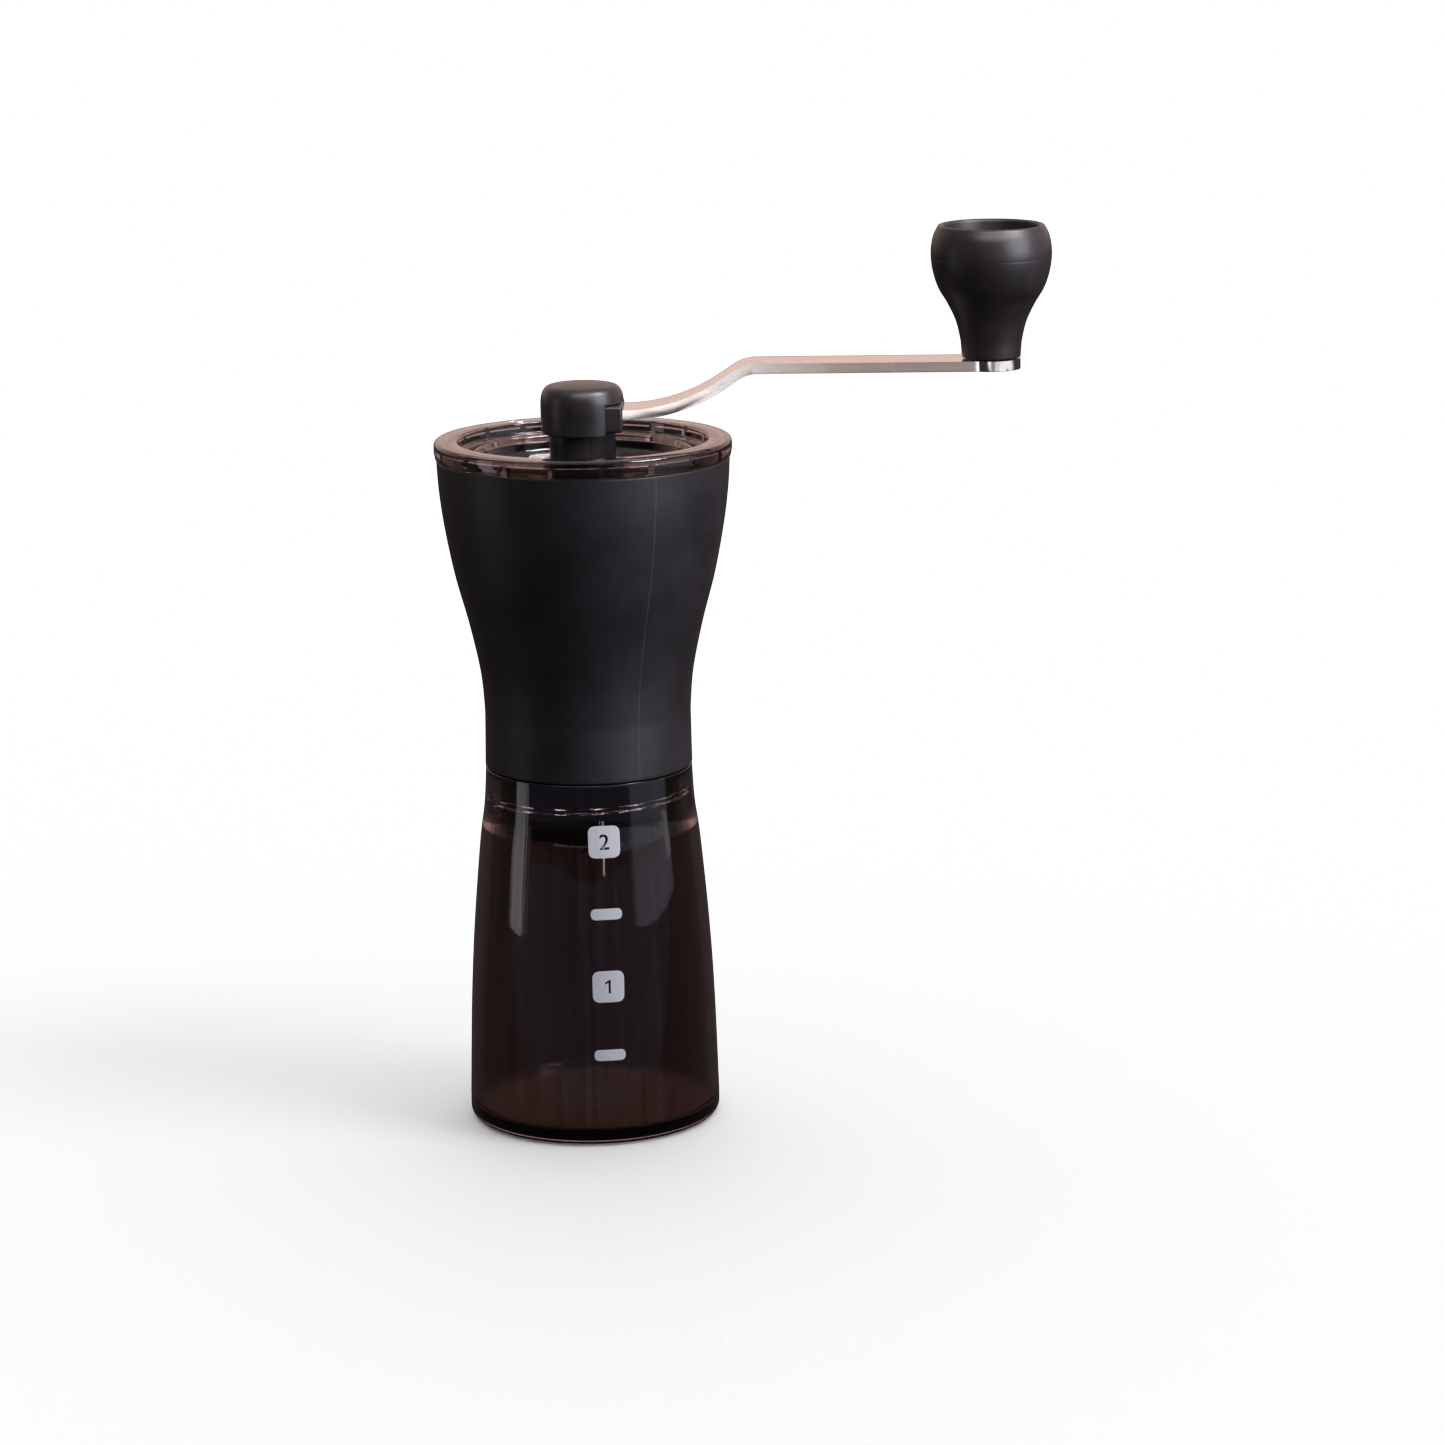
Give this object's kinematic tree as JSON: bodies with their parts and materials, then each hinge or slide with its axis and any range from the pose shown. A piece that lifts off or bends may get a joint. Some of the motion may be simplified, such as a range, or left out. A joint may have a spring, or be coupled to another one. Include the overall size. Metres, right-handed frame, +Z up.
{
  "type": "hand crank coffee grinder",
  "caption": "Slim hand crank coffee grinder with a clear smoky jar screwed under a waisted black hopper, a clear dished lid, and a lift-off steel crank with a cup-shaped knob.",
  "frame": {"origin": "centre of the jar's flat foot, on the surface that the grinder stands on", "axes": "+Z up along the shaft, +X from the shaft towards the knob"},
  "size_m": [0.1491, 0.072, 0.2201],
  "materials": {
    "smoky_resin": "clear smoky brown resin, polished",
    "black_shell": "fine matte black plastic",
    "black_core": "plain moulded black plastic",
    "hub_black": "satin moulded black plastic",
    "knob_black": "matte black plastic, slightly soft to the touch",
    "arm_steel": "satin stainless steel strip",
    "shaft_steel": "turned stainless steel",
    "fastener_steel": "bright stainless steel",
    "burr_ceramic": "unglazed white ceramic",
    "nylon": "natural nylon",
    "seal_rubber": "black silicone rubber"
  },
  "bodies": {
    "jar_body": {"jar": "smoky_resin"},
    "seal_body": {"jar_seal": "seal_rubber"},
    "hopper_body": {"hopper": "black_shell", "shaft_bridge": "black_core", "upper_bush": "nylon", "lower_bush": "nylon", "outer_burr": "burr_ceramic", "burr_retainer": "black_core", "core_screw_1": "fastener_steel", "core_screw_2": "fastener_steel", "core_screw_3": "fastener_steel"},
    "shaft_body": {"crank_shaft": "shaft_steel", "thrust_washer": "fastener_steel", "shaft_clip": "fastener_steel", "spring_washer": "fastener_steel", "burr_spring": "fastener_steel"},
    "burr_body": {"inner_burr": "burr_ceramic", "burr_carrier": "black_core"},
    "nut_body": {"adjusting_nut": "black_core"},
    "lid_body": {"lid": "smoky_resin"},
    "crank_body": {"hub_base": "hub_black", "hub_cap": "hub_black", "crank_arm": "arm_steel", "knob_axle": "shaft_steel", "knob_washer": "nylon", "knob_screw": "fastener_steel"},
    "knob_body": {"knob": "knob_black", "knob_bush": "nylon"}
  },
  "joints": [
    {"name": "hopper_rise", "type": "slide", "parent": "jar_body", "child": "seal_body", "axis": [0, 0, 1], "range_m": [0, 0.008]},
    {"name": "hopper_twist", "type": "hinge", "parent": "seal_body", "child": "hopper_body", "pos_m": [0, 0, 0.0889], "axis": [0, 0, 1], "range_deg": [0, 720]},
    {"name": "crank_spin", "type": "hinge", "parent": "hopper_body", "child": "shaft_body", "pos_m": [0, 0, 0.12], "axis": [0, 0, 1], "continuous": true},
    {"name": "burr_travel", "type": "slide", "parent": "shaft_body", "child": "burr_body", "axis": [0, 0, -1], "range_m": [0, 0.0015], "deforming": ["burr_spring"]},
    {"name": "nut_turn", "type": "hinge", "parent": "burr_body", "child": "nut_body", "pos_m": [0, 0, 0.074], "axis": [0, 0, -1], "range_deg": [0, 540]},
    {"name": "crank_lift", "type": "slide", "parent": "shaft_body", "child": "crank_body", "axis": [0, 0, 1], "range_m": [0, 0.04]},
    {"name": "knob_spin", "type": "hinge", "parent": "crank_body", "child": "knob_body", "pos_m": [0.09865, 0, 0.2], "axis": [0, 0, 1], "continuous": true},
    {"name": "lid_lift", "type": "slide", "parent": "hopper_body", "child": "lid_body", "axis": [0, 0, 1], "range_m": [0, 0.02]}
  ],
  "couplings": [
    {"joint": "hopper_twist", "follows": "hopper_rise", "rad_per_m": 1570.8},
    {"joint": "nut_turn", "follows": "burr_travel", "rad_per_m": 6283.2},
    {"joint": "lid_lift", "follows": "crank_lift", "ratio": 0.5}
  ]
}
